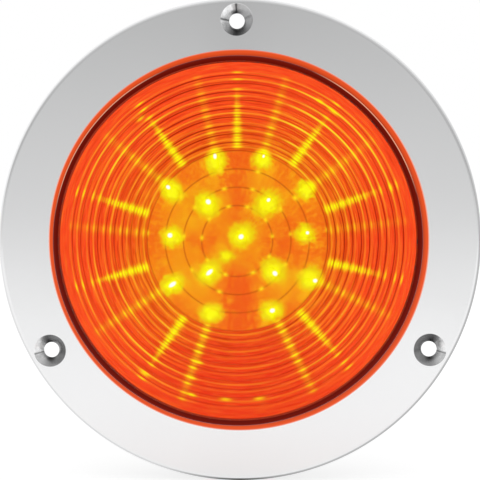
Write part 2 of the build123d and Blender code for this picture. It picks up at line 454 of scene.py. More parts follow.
def lens_profile():
    """From the front pole round the rim and back along the rings, with each segment's slot."""
    edge = 1.0 * MM
    lip_edge = 0.5 * MM
    fillet = 0.3 * MM
    chamfer = 0.4 * MM
    support = 0.1 * MM
    points, slots = [], []

    def go(new, slot):
        points.extend(new)
        slots.extend([slot] * len(new))

    go([(r, LENS_FRONT) for r in np.linspace(0, INNER_RADIUS, 12)], FACE_SLOT)
    slots[-1] = END_SLOT
    go([(WALL_RADIUS - edge - support, LENS_FRONT)], END_SLOT)
    go(arc((WALL_RADIUS - edge, LENS_FRONT + edge), edge, -90, 0, 8), END_SLOT)
    slots[-1] = WALL_SLOT
    go([(WALL_RADIUS, y) for y in np.linspace(LENS_FRONT + edge + fillet, LIP_FRONT - fillet, 6)],
       WALL_SLOT)
    go(arc((WALL_RADIUS + fillet, LIP_FRONT - fillet), fillet, 180, 90, 4)[1:], WALL_SLOT)
    go([(LIP_RADIUS - lip_edge - support, LIP_FRONT)], WALL_SLOT)
    go(arc((LIP_RADIUS - lip_edge, LIP_FRONT + lip_edge), lip_edge, -90, 0, 6), WALL_SLOT)
    go([(LIP_RADIUS, LIP_BACK), (WALL_RADIUS, LIP_BACK), (WALL_RADIUS, SKIRT_END),
        (INNER_RADIUS, SKIRT_END), (INNER_RADIUS, OPTIC_PLANE + chamfer)], WALL_SLOT)
    slots[-1] = RING_SLOT
    go([(INNER_RADIUS - chamfer, OPTIC_PLANE)], RING_SLOT)
    for r, y, slot in ridge_points():
        go([(r, y)], slot)
    return points, slots


print("points of the lens profile:", len(lens_profile()[0]))


# %% The clear face
def clear_face_finish():
    """A skin that reflects a little by its Fresnel share and lets the rest through."""
    g = Graph("lens_clear_face")
    skin = g.add("ShaderNodeBsdfGlossy", values={"Color": grey(1.0), "Roughness": 0.03})
    through = g.add("ShaderNodeBsdfTransparent")
    share = g.add("ShaderNodeFresnel", values={"IOR": 1.12})
    mix = g.add("ShaderNodeMixShader", values={0: share, 1: through, 2: skin})
    g.tree.links.new(mix.socket, g.output.inputs["Surface"])
    return g.owner


# %% The wall's end: painted shade and a painted highlight
# Levels of the painted highlight on the wall's rounded front edge, by angle in degrees
END_HIGHLIGHT = [(0, 0), (14, 0), (25, 0.8), (55, 0.8), (66, 0), (112, 0), (124, 0.75), (160, 0.75),
            (172, 0), (360, 0)]


def wall_end_finish():
    """Painted dark red shade, with a painted highlight line beyond 51.5 mm on the two upper sides.
    """
    g = Graph("lens_wall_end")
    _, _, _, radius, angle = g.polar()
    # line is a painted highlight along the wall's rounded front edge, on the two upper sides
    line = g.curve(angle, 360, END_HIGHLIGHT)
    glow = g.layers(srgb(100, 10, 0), [
        (g.step(radius, 50.6, 51.3), srgb(110, 14, 0)),
        (g.step(radius, 51.5, 51.62) * line, srgb(248, 176, 140))])
    return g.lit(srgb(20, 2, 0), 0.12, glow, specular=0.06)


# %% The side wall and the lip
# Levels of the painted highlight on the lip's rounded front edge, by angle in degrees
LIP_HIGHLIGHT = [(0, 0.8), (40, 0.6), (75, 0.25), (105, 0.25), (140, 0.5), (180, 0.9), (225, 0.8),
            (270, 0.35), (315, 0.5), (360, 0.8)]


def amber_wall_finish():
    """Red brown on the wall, brighter forward, orange on the lip, and a painted highlight on the
    lip's front.
    """
    g = Graph("lens_amber_wall")
    _, y, _, radius, angle = g.polar()
    lip_highlight = g.curve(angle, 360, LIP_HIGHLIGHT)
    glow = g.layers(srgb(150, 40, 8), [
        (g.step(radius, 52.2, 54.0), srgb(230, 78, 24)),
        (g.step(y, -3.0, -12.0) * 0.4, srgb(252, 104, 20)),
        # A painted highlight on the lip's rounded front edge, by angle
        (g.step(radius, 54.1, 54.4) * g.step(y, -5.0, -5.4) * lip_highlight * 0.8, srgb(255, 206, 184))])
    return g.lit(srgb(80, 16, 2), 0.14, glow, strength=0.95, specular=0.25)


# %% [markdown]
# ## The lit centre
# Each emitter shows through the face as a yellow pool with a white heart, shifted and stretched by
# the ring in front of it. Tracing light through real acrylic could find these images, but with much
# grain, so each is a spot. A row gives the pool's centre, its length and width, the turn of its
# long axis, and the centre and size of its heart, in millimetres and degrees.

# %% The emitters' images
POOLS = [
    (1.3, 1.6, 3.2, 2.9, 40, 1.1, 1.2, 0.95, 0.85),
    (-8.3, 10.3, 3.3, 2.9, -50, -8.1, 11.1, 0.95, 0.85),
    (8.4, 10.5, 3.5, 2.9, 50, 8.9, 11.5, 0.7, 0.6),
    (-7.9, -8.8, 3.2, 2.6, 42, -7.9, -8.8, 1.45, 0.75),
    (10.2, -8.4, 3.2, 2.9, -45, 10.6, -9.2, 0.95, 0.8),
    (18.9, 2.1, 2.5, 2.2, 0, 19.8, 2.2, 0.6, 0.6),
    (19.6, 14.4, 2.5, 2.2, 35, 0, 0, 0, 0),
    (7.2, 23.1, 2.5, 2.4, 70, 7.6, 23.8, 0.55, 0.4),
    (-5.9, 22.6, 3.2, 2.6, 90, -6.1, 23.9, 0.9, 0.6),
    (-18.6, 14.5, 3.2, 2.5, -48, -19.4, 15.3, 0.8, 0.65),
    (-18.6, 1.4, 2.7, 2.6, 0, -19.0, 1.7, 0.85, 0.85),
    (-18.4, -12.2, 3.1, 2.4, 35, -18.4, -12.2, 1.5, 0.75),
    (-7.5, -20.3, 2.8, 2.3, 10, 0, 0, 0, 0),
    (9.8, -19.8, 2.8, 2.4, 20, 9.8, -19.7, 0.95, 0.8),
    (20.7, -10.7, 3.1, 2.7, 20, 21.9, -11.3, 0.8, 0.7),
    (-3.0, -4.4, 1.5, 1.3, 0, 0, 0, 0, 0),
]
OUTER_POOLS = POOLS[5:15]
POOL_GROWTH = 1.15
print("pools:", len(POOLS), "of them outside:", len(OUTER_POOLS))


def pool_light(g, x, z, table):
    """The sum of the pools, and a haze round them, which is the sum of their fifth roots."""
    near = [spot(g, x, z, cx, cz, long * POOL_GROWTH, wide * POOL_GROWTH, turn)
            for cx, cz, long, wide, turn, *_ in table]
    return total(near), total([pool ** 0.2 for pool in near])


def heart_light(g, x, z, table):
    """The sum of the white hearts, turned like their pools."""
    return spots(g, x, z, [(cx, cz, long, wide, turn)
                           for *_, turn, cx, cz, long, wide in table if long])


# %% Spokes and rows of dots
SPOKES = [(19.2, 0.9), (53.8, 1), (89.6, 0.8), (125.3, 1), (162.4, 1), (195.6, 1),
          (234.7, 1), (311.2, 0.9), (346.5, 0.95)]
DOT_ROWS = [(6.5, 0.35), (36.3, 0.55), (72.8, 0.6), (103.5, 0.5), (141, 0.6), (174.5, 0.4),
            (212.6, 0.7), (250.3, 1), (296.5, 0.95), (333.5, 0.6)]
print("spokes:", len(SPOKES), "rows of dots:", len(DOT_ROWS))


def spoke_distance(g, angle, radius, table, reach=4.5):
    """Distance across to the nearest spoke in millimetres, and that spoke's strength.

    A ramp falls from 1 on a spoke to 0 at reach degrees beside it. Red holds that fall, green
    the strength.
    """
    stops = []
    for at, strength in table:
        for place, fall in ((at - reach, 0), (at, 1), (at + reach, 0)):
            stops.append((place / 360, (fall, strength, 0, 1)))
    fall, strength, _ = g.split(g.ramp(angle / 360, stops))
    return (1 - fall) * (reach * math.pi / 180) * radius, strength


# %% The centre's ground colour
SIDE_SHADE = [(0, 0.7), (20, 0.35), (40, 0.1), (72, 0.25), (84, 0.75), (96, 0.75), (108, 0.25),
              (140, 0.1), (165, 0.35), (180, 0.65), (195, 0.25), (225, 0.1), (252, 0.3), (259, 1),
              (281, 1), (289, 0.3), (315, 0.1), (345, 0.35), (360, 0.7)]
BRIGHT_PATCHES = [(-16.5, 5, 4.5, 5.5), (-16, -6, 4.5, 5), (6, 16.5, 4.5, 3.5),
                  (-11.5, 4.5, 3.2, 3.2), (-3.6, 12, 2.4, 2.4), (-11, -14, 4, 4),
                  (13, -12.5, 3, 3)]
DULL_PATCHES = [(13.5, -1, 3, 3.6), (-13, 0, 2.2, 2.2), (0, 6.5, 3, 2), (0.5, -7.5, 3, 2)]
print("patches:", len(BRIGHT_PATCHES), "bright,", len(DULL_PATCHES), "dull")


def centre_ground(g, hair, speck, haze):
    """Orange, redder to four sides, warmer in the haze, patchy by noise, then fixed patches."""
    x, _, z, radius, angle = g.polar()
    side = g.step(radius, 2.0, 8.0) * g.curve(angle, 360, SIDE_SHADE)
    patch = g.noise(220.0, 3.0, 0.65)
    bright = spots(g, x, z, BRIGHT_PATCHES) * 0.5
    band = g.bell(x - 0.2, 2.3) * (g.step(z, -9.0, -14.0) * 0.85 + g.step(z, 8.0, 12.0) * 0.4)
    dull = band + spots(g, x, z, DULL_PATCHES) * 0.5
    return g.layers(srgb(246, 131, 10), [
        (side, srgb(241, 80, 14)),
        (g.step(haze, 0.8, 2.0) * 0.85, srgb(243, 176, 6)),
        (g.step(hair, 0.42, 0.75) * 0.45, srgb(252, 172, 20)),
        (g.step(patch, 0.5, 0.7) * 0.55, srgb(250, 190, 14)),
        (g.step(patch, 0.5, 0.32) * 0.5, srgb(242, 96, 16)),
        (g.step(speck, 0.45, 0.7) * 0.25, srgb(253, 158, 24)),
        (g.step(speck, 0.5, 0.3) * 0.2, srgb(236, 84, 10)),
        (g.cap(bright, 0.8), srgb(248, 178, 14)),
        (g.cap(dull, 0.9), srgb(240, 88, 16))])


# %% The centre's material
def coarse_line_distance(g, radius):
    """Pitch times the smaller of f and 1 - f, where f is the fraction of rings counted outwards.

    That is the distance to the nearest circle, made large inside the bullseye.
    """
    count = g.one("MAXIMUM", (radius - BULLSEYE / MM) * (MM / COARSE_PITCH), -0.3)
    part = g.one("FRACT", count)
    edge = g.one("MINIMUM", part, 1 - part) * (COARSE_PITCH / MM)
    return edge + g.step(radius, 9.0, 8.0) * 9.0


def lit_centre_finish():
    """The ground, thin circles of painted shade, pools made ragged by noise, glints and hearts."""
    g = Graph("lens_lit_centre")
    x, _, z, radius, angle = g.polar()
    hair = g.swirl(x, z, radius, 24.0, 0.45)
    speck = g.noise(1500.0, 1.0)
    drift = (g.noise(420.0, 3.0, 0.7) - 0.5) * 3.4
    light, haze = pool_light(g, x + drift, z - 0.7 * drift, POOLS)
    light = light * (0.3 + 0.75 * hair + 0.6 * speck)
    hearts = heart_light(g, x, z, POOLS)
    edge = coarse_line_distance(g, radius)
    across, strength = spoke_distance(g, angle, radius, DOT_ROWS, 14.0)
    glint = g.bell(across, 0.75) * g.bell(edge, 0.5) * g.step(strength, 0.0, 0.5)
    colour = g.layers(centre_ground(g, hair, speck, haze), [
        # Thin circles of painted shade along the coarse rings' grooves
        (g.bell(edge, 0.2) * (0.3 + 0.7 * hair), srgb(190, 48, 4)),
        (g.step(light, 0.1, 0.55), srgb(238, 214, 2)),
        (g.step(light, 0.5, 0.85), YELLOW),
        # A fainter second coat of painted shade on the same circles
        (g.bell(edge, 0.16) * 0.2, srgb(200, 80, 6)),
        (glint, srgb(255, 226, 20)),
        (g.step(hearts, 0.33, 0.85), grey(1.1))])
    return g.lit(srgb(30, 8, 2), 0.4, colour, alpha=0.88)


# %% [markdown]
# ## The lit rings
# From the front each fine ring shows a groove in painted shade and a crest with a painted
# highlight. Nine yellow spokes stand between the outer emitters, broken into dashes, and rows of
# dots stand at the emitters. Long glints run along every second crest at the upper right and left.
# A painted image could show this, but a formula stays sharp at any size and follows the ridges.

# %% Where a point is among the rings
RAMP_RADIUS = 52.0
SECTORS = [
    (0, 0.1, 0.25, 0), (14, 0.25, 0.65, 0), (26, 0.65, 0.95, 0), (36, 0.95, 1, 0),
    (48, 0.8, 1, 0), (60, 0.9, 0.9, 0), (70, 0.5, 0.6, 0), (78, 0.15, 0.4, 0),
    (90, 0.2, 0.4, 0), (104, 0.25, 0.3, 0), (116, 0.2, 0.3, 0), (124, 0.5, 0.6, 0),
    (132, 0.25, 0.55, 0), (142, 0.6, 0.75, 0), (154, 0.6, 0.8, 0), (164, 0.25, 0.6, 0),
    (180, 0.1, 0.25, 0), (194, 0.35, 0.8, 0), (212, 0.45, 0.95, 0), (229, 0.6, 0.85, 0),
    (240, 0.25, 0.3, 0.4), (256, 0.05, 0, 1), (266, 0.15, 0, 1), (278, 0.15, 0, 1),
    (288, 0.1, 0, 1), (300, 0.2, 0.1, 0.6), (312, 0.25, 0.5, 0.1), (326, 0.35, 0.55, 0),
    (345, 0.15, 0.5, 0), (360, 0.1, 0.25, 0)]
print("sectors:", len(SECTORS))


class RingPlace:
    """A point's place among the fine rings, and the noises and sector levels there.

    part runs from 0 to 1 across a ring, even is 1 on every second ring and 0 between, and edge
    is the distance to the nearest groove in millimetres. crest is a bell at the middle of even
    rings and nearer the inside on the others. glints, warm and calm come from SECTORS.
    """

    def __init__(self, g):
        self.x, _, self.z, self.radius, self.angle = g.polar()
        here = self.x, self.z, self.radius
        self.stroke = g.swirl(*here, 2.5, 2.4)
        self.grain = g.swirl(*here, 11.0, 3.2)
        self.thread = g.swirl(*here, 4.0, 2.9)
        count = (self.radius - COARSE_END / MM) * (MM / FINE_PITCH)
        self.part = g.one("FRACT", count)
        self.even = 1 - 2 * g.one("FRACT", g.one("FLOOR", count) * 0.5)
        self.edge = g.one("MINIMUM", self.part, 1 - self.part) * (FINE_PITCH / MM)
        self.inside = g.step(self.radius, 49.25, 48.9)
        self.crest = g.bell(self.part - (0.32 + 0.18 * self.even), 0.1) * self.inside
        around = g.ramp(self.angle / 360, [(a / 360, (*levels, 1)) for a, *levels in SECTORS])
        self.glints, self.warm, self.calm = g.split(around)


# %% The rings' ground colour
def ring_ground(g, at, haze):
    """Orange red by radius, then coats for calm and warm sectors, noise, threads and haze."""
    base = g.ramp(at.radius / RAMP_RADIUS, [
        (0.48, srgb(242, 96, 20)), (0.55, srgb(240, 78, 24)), (0.62, srgb(244, 69, 26)),
        (0.7, srgb(248, 66, 28)), (0.9, srgb(250, 70, 32)), (0.96, srgb(250, 75, 32))])
    fade = g.step(at.radius, 42.0, 25.0) * 0.5 + g.step(at.radius, 48.6, 46.0) * 0.1
    inner = g.step(at.radius, 50.0, 26.0)
    return g.layers(base, [
        (at.calm * 0.85, srgb(234, 56, 24)),
        (at.warm * fade * (0.3 + 0.9 * at.stroke), srgb(236, 128, 16)),
        (g.step(at.grain, 0.45, 0.7) * 0.3, srgb(255, 116, 40)),
        (g.step(at.grain, 0.5, 0.28) * 0.35, srgb(226, 48, 14)),
        (g.step(at.thread, 0.54, 0.7) * (0.15 + 0.6 * at.warm * inner), srgb(250, 152, 24)),
        (g.step(at.thread, 0.47, 0.32) * (0.3 + 0.35 * inner), srgb(204, 50, 6)),
        (g.step(haze, 0.75, 1.35) * 0.6, srgb(246, 156, 20))])


# %% Spokes, dots and glints
RING_GLINTS = [(26, 0.6), (28.9, 0.12), (31.2, 0.75), (33.8, 0.12), (36, 0.95), (38.4, 0.14),
               (40.8, 1.1), (43.2, 0.2), (45.4, 0.75), (47.6, 0.2)]
END_GLINTS = [(234.5, 46, 1.5), (53, 45.2, 1.7), (59, 45.6, 1.2), (251, 40.8, 1.2),
              (252, 36, 1.1), (253, 45.4, 1.2), (277.6, 44.9, 1.4), (265.5, 44.9, 1.4),
              (128, 44, 1.1), (19, 45.6, 1)]
END_WIDTH = 0.42
print("short glints:", len(END_GLINTS))


def spoke_light(g, at):
    """The spokes, the same broken into dashes, and the tips where crests cross them.

    A spoke is exp(-(across / width)^2), narrower outwards. A bell that repeats along the
    radius makes the dashes.
    """
    across, strength = spoke_distance(g, at.angle, at.radius, SPOKES)
    reach = g.step(at.radius, 25.6, 26.6) * g.step(at.radius, 45.0, 33.0) * strength
    sharp = across / (1.05 - 0.45 * g.step(at.radius, 28.0, 42.0))
    spoke = g.one("EXPONENT", sharp * sharp * -1.0) * reach
    rung = g.bell(g.one("FRACT", at.radius * 1.15) - 0.5, 0.3)
    tips = g.bell(across, 1.3) * strength * at.crest * 0.75
    return spoke, spoke * (0.45 + 0.85 * rung), tips


def dot_light(g, at):
    """Bells across the rows of dots, strongest on the crests and weaker outwards."""
    across, strength = spoke_distance(g, at.angle, at.radius, DOT_ROWS)
    dots = g.bell(across, 1.1) * strength * (at.crest + 0.25)
    return dots * g.step(at.radius, 52.0, 30.0) ** 0.5 * g.step(at.radius, 48.6, 47.8)


def glint_light(g, at):
    """Long glints along the crests: by sector, by ring, and broken up by the stroke noise."""
    share = g.curve(at.radius, RAMP_RADIUS, RING_GLINTS)
    return at.crest * at.glints * share * g.step(at.stroke, 0.3, 0.52) * 1.15


def end_light(g, at):
    """Short glints from a table of (degrees, radius, length), lying along the rings."""
    rows = []
    for degrees, reach, length in END_GLINTS:
        a = math.radians(degrees)
        rows.append((reach * math.cos(a), reach * math.sin(a), length, END_WIDTH, degrees + 90))
    return spots(g, at.x, at.z, rows)


# %% The painted shade in the grooves
# How dark the painted shade in the grooves is, by angle in degrees
GROOVE_SHADE = [
    (0, 0.95), (15, 0.95), (26, 0.5), (36, 0.3), (70, 0.36), (85, 0.7), (105, 1), (118, 1),
    (130, 0.5), (145, 0.3), (158, 0.34), (175, 0.7), (195, 0.45), (212, 0.3), (240, 0.36),
    (258, 0.3), (290, 0.3), (312, 0.38), (330, 0.55), (345, 0.85), (360, 0.95)]
print("groove depths:", len(GROOVE_SHADE))


def groove_shade(g, at):
    """Painted shade in the grooves by angle, and a second thin line of painted shade on every even
    ring.
    """
    depth = g.split(g.curve(at.angle, 360, GROOVE_SHADE))[0] * (0.65 + 1.0 * at.grain)
    groove = g.bell(at.edge, 0.15) * g.step(at.radius, 48.6, 48.0) * depth
    second = g.bell(at.part - 0.24, 0.09) * at.even * at.inside * depth
    return groove, second


# %% The rings' material
def lit_rings_finish():
    """The ground colour, then painted highlights on the crests, glints, spokes, dots and pools, and
    the grooves' painted shade last.
    """
    g = Graph("lens_lit_rings")
    at = RingPlace(g)
    spoke, dashes, tips = spoke_light(g, at)
    groove, second = groove_shade(g, at)
    light, haze = pool_light(g, at.x, at.z, OUTER_POOLS)
    colour = g.layers(ring_ground(g, at, haze), [
        # A painted highlight along each ring's crest
        (at.crest * (0.2 - 0.1 * at.calm + 0.12 * at.warm), srgb(255, 132, 40)),
        # A second thin line of painted shade on every even ring
        (second * 0.5, srgb(190, 32, 6)),
        (g.cap(glint_light(g, at) * 1.25, 1.0), srgb(255, 224, 44)),
        (g.cap(dashes, 1.0), srgb(252, 246, 12)),
        (g.cap((dot_light(g, at) + tips) * 1.35, 1.0), srgb(253, 230, 22)),
        (g.cap(end_light(g, at) * (0.7 + 0.6 * at.crest), 1.0), srgb(254, 232, 20)),
        (g.step(light, 0.2, 0.75), YELLOW),
        # Painted shade in the grooves, less where a spoke crosses
        (g.cap(groove, 0.95) * (1 - 0.4 * spoke),
         g.blend(at.warm, srgb(140, 8, 0), srgb(190, 34, 0)))])
    return g.lit(srgb(30, 6, 2), 0.4, colour)


# %% [markdown]
# ## The whole cup
# The profile is turned in 512 steps, which keeps the outline round close up. The lens is hidden
# from glossy and diffuse rays, because its paint is light and would tint the steel orange.

# %% Make the lens
LENS_STEPS = 512
points, slots = lens_profile()
vertices, faces, segment = turn_profile(points, LENS_STEPS)
lens = make_piece("lens_cup", vertices, faces, [
    clear_face_finish(), wall_end_finish(), amber_wall_finish(), lit_rings_finish(),
    lit_centre_finish()], np.array(slots)[segment])
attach(lens, "root")
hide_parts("lens")
lens.visible_glossy = False
lens.visible_diffuse = False


# %% [markdown]
# ## The flange
# A stainless ring pressed from sheet: flat face, rolled outer edge and three conical screw seats.
# A boolean could cut the seats, but it leaves slivers that show in bright steel. So the edge and
# the seats are turned profiles, and the flat face between them is a constrained triangulation of
# the circles that bound it. It shares their points, so the surfaces join without a gap.

# %% Flat faces with holes
def circle(centre, radius, steps):
    """Points centre + radius (cos a, sin a) in the plane of the flange, as (x, z)."""
    a = np.arange(steps) * 2 * math.pi / steps
    return np.stack([centre[0] + radius * np.cos(a), centre[1] + radius * np.sin(a)], 1)


RING_STEPS = 720
SEAT_STEPS = 120
SEATS = [(SCREW_CIRCLE * math.cos(a), SCREW_CIRCLE * math.sin(a))
         for a in map(math.radians, SCREW_ANGLES)]
print("screw seats:", len(SEATS))


def flat_ring(y, inner, outer, seat, faces_front):
    """Triangles between two circles and outside three seat circles, all at one y.

    A triangle stays if its middle lies in the ring and in no seat. The sign of the determinant
    of its edges b - a and c - a tells which way it faces, and if wrongly it is turned over.
    """
    loops = [circle((0, 0), outer, RING_STEPS), circle((0, 0), inner, RING_STEPS)]
    loops += [circle(c, seat, SEAT_STEPS) for c in SEATS]
    points, edges = [], []
    for loop in loops:
        first = len(points)
        points += [Vector(p) / MM for p in loop.tolist()]
        n = len(loop)
        edges += [(first + i, first + (i + 1) % n) for i in range(n)]
    found, _, triangles, *_ = delaunay_2d_cdt(points, edges, [], 1, 1e-6)
    found = np.array([tuple(p) for p in found]) * MM
    triangles = np.array(list(triangles), int)
    middle = found[triangles].mean(1)
    radius = np.hypot(middle[:, 0], middle[:, 1])
    keep = (radius > inner) & (radius < outer)
    for c in SEATS:
        keep &= np.hypot(middle[:, 0] - c[0], middle[:, 1] - c[1]) > seat
    triangles = triangles[keep]
    a, b, c = (found[triangles[:, i]] for i in range(3))
    turn = np.linalg.det(np.stack([b - a, c - a], 1))
    flip = (turn < 0) if faces_front else (turn > 0)
    triangles[flip] = triangles[flip][:, ::-1]
    vertices = np.stack([found[:, 0], np.full(len(found), y), found[:, 1]], 1)
    return vertices, triangles.tolist()


# %% The flange's profiles
def flange_edge_profile():
    """From the front face over the rolled edge and back: quarter circles about one centre."""
    ease = 0.1 * MM
    drop = 0.15 * MM
    centre = (FLANGE_RADIUS - EDGE_ROLL, FLANGE_FRONT + EDGE_ROLL)
    outer = arc(centre, EDGE_ROLL, -90, 0, 12)
    inner = arc(centre, EDGE_ROLL - SHEET, 0, -90, 8)
    foot = [(FLANGE_RADIUS, -drop), (FLANGE_RADIUS - ease, 0),
            (FLANGE_RADIUS - SHEET + ease, 0), (FLANGE_RADIUS - SHEET, -drop)]
    return [(FLAT_END, FLANGE_FRONT)] + outer + foot + inner + [(FLAT_END, FLANGE_FRONT + SHEET)]


def flange_bore_profile():
    """From the back face over the bore's two eased edges to the front face."""
    back = FLANGE_FRONT + SHEET
    ease = 0.1 * MM
    return [(BORE_END, back), (FLANGE_BORE + ease, back), (FLANGE_BORE, back - ease),
            (FLANGE_BORE, FLANGE_FRONT + ease), (FLANGE_BORE + ease, FLANGE_FRONT),
            (BORE_END, FLANGE_FRONT)]


def seat_profile():
    """One screw seat about its own axis: rounded rim, cone, hole, and the cone's back.

    The cone narrows by slope for each unit of depth. Its back is the same line moved out by
    offset, which keeps the sheet's thickness. The rim starts reach outside the sharp corner.
    """
    depth = -FLANGE_FRONT - SEAT_LAND
    slope = (SEAT_RADIUS - SCREW_HOLE) / depth
    offset = SHEET * math.sqrt(1 + slope * slope)
    rim = 0.18 * MM
    reach = rim * math.tan(math.atan(1 / slope) / 2)
    rim_arc = arc((SEAT_RADIUS + reach, FLANGE_FRONT + rim), rim, -90,
                  -90 - math.degrees(math.atan(1 / slope)), 6)
    back = FLANGE_FRONT + SHEET
    neck = SCREW_HOLE + SHEET
    neck_y = FLANGE_FRONT + (SEAT_RADIUS + offset - neck) / slope
    cone_end = FLANGE_FRONT + depth
    front = [(SEAT_END, FLANGE_FRONT)] + rim_arc
    cone = [(SEAT_RADIUS - (y - FLANGE_FRONT) * slope, y)
            for y in np.linspace(rim_arc[-1][1] + 0.1 * MM, cone_end, 5)]
    return front + cone + [(SCREW_HOLE, -0.05 * MM), (SCREW_HOLE + 0.05 * MM, 0), (neck, 0),
                           (neck, neck_y), (SEAT_RADIUS - SHEET * slope + offset, back),
                           (SEAT_END, back)]


print("profile points:", len(flange_edge_profile()), len(flange_bore_profile()),
      len(seat_profile()))


# %% [markdown]
# ## The brushed steel
# Real brushed steel mirrors the room softly, and so does the flat face here. The screw seats are
# small cones that mirror things close by. Those aren't modelled, so the seats' light and dark
# sides are painted light and shade by the angle about each seat's own axis, with a painted
# highlight on the bright side. The rolled edge has a painted dark line, the face a painted shade.

# %% Painted light and shade round the seats and the edge
# Painted light and shade round the top seat and the lower two, by angle in degrees about each seat
UPPER_SEAT_SHADING = [
    (0, 0.5), (40, 0.62), (70, 0.7), (86, 0.6), (90, 0.12), (94, 0.12), (98, 0.7), (112, 1),
    (170, 1), (174, 0.35), (177, 0.35), (181, 1), (215, 0.9), (240, 0.4), (262, 0.2),
    (300, 0.22), (335, 0.4), (360, 0.5)]
LOWER_SEATS_SHADING = [
    (0, 0.46), (60, 0.46), (85, 0.42), (105, 0.35), (118, 0.6), (132, 0.95), (165, 1),
    (188, 1), (191, 0.45), (193, 0.45), (197, 0.95), (228, 0.85), (250, 0.5), (268, 0.36),
    (330, 0.44), (360, 0.46)]
# Painted shade at the foot of each seat's cone, by angle in degrees
SEAT_FOOT_SHADE = [
    (0, 0), (80, 0.1), (95, 0.9), (112, 0.6), (125, 0), (240, 0), (262, 0.8), (285, 0.6),
    (305, 0), (360, 0)]
# Painted dark line at the rolled edge, by angle in degrees
EDGE_SHADE = [
    (0, 0.5), (20, 0.3), (60, 0.05), (170, 0.05), (200, 0.15), (250, 0.2), (262, 0.6), (270, 1),
    (278, 0.6), (290, 0.45), (330, 0.5), (360, 0.5)]
# Painted shade over the flange's face by angle in degrees, darkest at the top
FACE_SHADE = [
    (0, 1), (60, 1), (78, 0.98), (90, 0.93), (102, 0.98), (120, 1), (178, 1), (195, 0.96),
    (225, 0.99), (254, 1), (270, 0.98), (286, 0.99), (330, 0.99), (345, 0.96), (360, 1)]
SEAT_HANDS = (1, 1, -1)
print("stops of the seats' tones:", len(UPPER_SEAT_SHADING), len(LOWER_SEATS_SHADING))


def seat_places(g, x, z):
    """The angle about the nearest seat, 1 inside a seat, and 1 at the foot of its cone.

    Each seat adds its offsets times its mask, so outside the seats all is 0. A hand of -1
    mirrors the last seat left to right.
    """
    sides, ups, masks, feet = [], [], [], []
    for (cx, cz), hand in zip(SEATS, SEAT_HANDS):
        dx, dz = (x - cx / MM) * hand, z - cz / MM
        away = (dx * dx + dz * dz) ** 0.5
        mask = g.step(away, SEAT_RADIUS / MM + 0.12, SEAT_RADIUS / MM - 0.12)
        sides.append(dx * mask)
        ups.append(dz * mask)
        masks.append(mask)
        feet.append(g.step(away, SCREW_HOLE / MM + 1.2, SCREW_HOLE / MM + 0.2))
    return g.angle(total(sides), total(ups)), total(masks), total(feet)


def painted_seat_shading(g, z, turn, foot, fine):
    """Painted light and shade by angle, one curve for the top seat and one for the lower two, then
    painted shade at the foot of the cones.
    """
    # Painted light and shade by the angle about the seat
    seat_shading = g.blend(g.step(z, -5.0, 5.0), g.curve(turn, 360, LOWER_SEATS_SHADING),
                   g.curve(turn, 360, UPPER_SEAT_SHADING))
    # Painted shade at the foot of the cone, by angle
    foot_shade = g.curve(turn, 360, SEAT_FOOT_SHADE)
    return g.layers(seat_shading, [(foot_shade * foot, grey(0.05)), (0.35 * fine, grey(0.2))])


# %% The steel's material
def steel_finish():
    """Nearly white metal, times the seats' painted light and shade, with painted shade at the
    rolled edge, times a painted shade by angle over the face.

    Roughness is 0.14 plus fine and cloudy noise. A painted highlight glows on the seats where their
    painted shading is near 1.
    """
    g = Graph("stainless_flange")
    x, _, z, radius, angle = g.polar()
    fine = g.noise(900.0, 3.0, 0.6)
    cloud = g.noise(25.0, 2.0)
    turn, inside, foot = seat_places(g, x, z)
    seat_shading = painted_seat_shading(g, z, turn, foot, fine)
    # Painted shade along the outermost rolled edge, strongest at the bottom
    tarnish_and_edge_shade = g.step(radius, 68.8, 69.3) * g.curve(angle, 360, EDGE_SHADE)
    colour = g.blend(cloud, (0.93, 0.93, 0.935, 1), (0.9, 0.905, 0.91, 1))
    colour = g.blend(inside, colour, seat_shading, "MULTIPLY")
    colour = g.blend(tarnish_and_edge_shade, colour, grey(0.02))
    # Painted shade by angle over the whole flange
    colour = g.blend(1.0, colour, g.curve(angle, 360, FACE_SHADE), "MULTIPLY")
    # A painted highlight glows as emission on the bright side of each seat
    seat_highlight = g.blend(inside * g.step(seat_shading, 0.75, 1.0), grey(0.0), grey(0.5))
    return g.finish(Base_Color=colour, Metallic=1.0, Roughness=0.14 + 0.06 * fine + 0.04 * cloud,
                    Emission_Color=seat_highlight, Emission_Strength=0.7,
                    Normal=g.bump(fine, 0.002 * MM))


# %% Make the flange
def flange_mesh():
    """All of the flange's surfaces in one list of vertices and one of faces."""
    parts = [flat_ring(FLANGE_FRONT, BORE_END, FLAT_END, SEAT_END, True),
             flat_ring(FLANGE_FRONT + SHEET, BORE_END, FLAT_END, SEAT_END, False)]
    parts += [turn_profile(profile, RING_STEPS)[:2]
              for profile in (flange_edge_profile(), flange_bore_profile())]
    seat, seat_faces, _ = turn_profile(seat_profile(), SEAT_STEPS)
    outwards = np.array(seat_faces)[:, ::-1]
    parts += [(seat + np.array([x, 0, z]), outwards) for x, z in SEATS]
    vertices, faces, first = [], [], 0
    for new_vertices, new_faces in parts:
        vertices.append(new_vertices)
        faces += (np.array(new_faces) + first).tolist()
        first += len(new_vertices)
    return np.concatenate(vertices), faces


def merge_doubles(piece, distance):
    """Join vertices that lie on each other, so that neighbouring surfaces share them."""
    mesh = bmesh.new()
    mesh.from_mesh(piece.data)
    bmesh.ops.remove_doubles(mesh, verts=mesh.verts, dist=distance)
    open_edges = sum(1 for e in mesh.edges if not e.is_manifold)
    mesh.to_mesh(piece.data)
    mesh.free()
    print(f"{piece.name}: {open_edges} open edges after merging")


